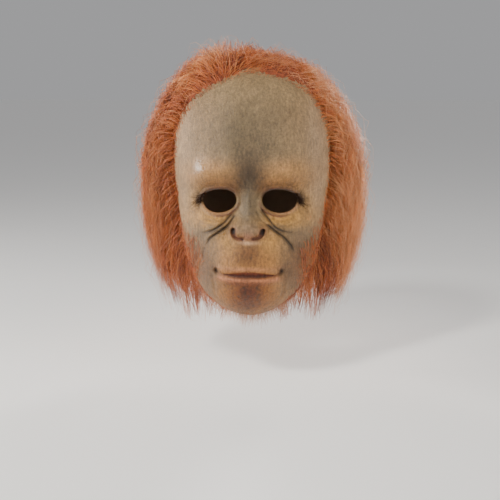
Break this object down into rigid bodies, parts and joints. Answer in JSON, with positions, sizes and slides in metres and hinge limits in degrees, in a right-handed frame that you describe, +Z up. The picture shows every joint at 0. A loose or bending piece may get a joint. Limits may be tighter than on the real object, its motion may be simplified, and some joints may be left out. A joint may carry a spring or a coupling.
{
  "type": "orangutan mask",
  "caption": "Full-head rubber mask of a young orangutan: moulded face with open eye holes, thin scalp cap, long red hair in locks, lashes and a chin fringe.",
  "frame": {"origin": "inside of the cap at the crown, where the top of the wearer's head rests", "axes": "+Z up along the head, the face looks along -Y, +X to the wearer's left"},
  "size_m": [0.242, 0.2459, 0.2813],
  "materials": {
    "face_rubber": "matte painted",
    "cap_rubber": "matte",
    "hair": "loose fibre",
    "lash_hair": "loose fibre",
    "fringe_hair": "loose fibre"
  },
  "bodies": {
    "root": {"face_skin": "face_rubber", "scalp_cap": "cap_rubber", "hair": "hair", "lash_left": "lash_hair", "lash_right": "lash_hair", "chin_fringe": "fringe_hair"}
  },
  "joints": []
}
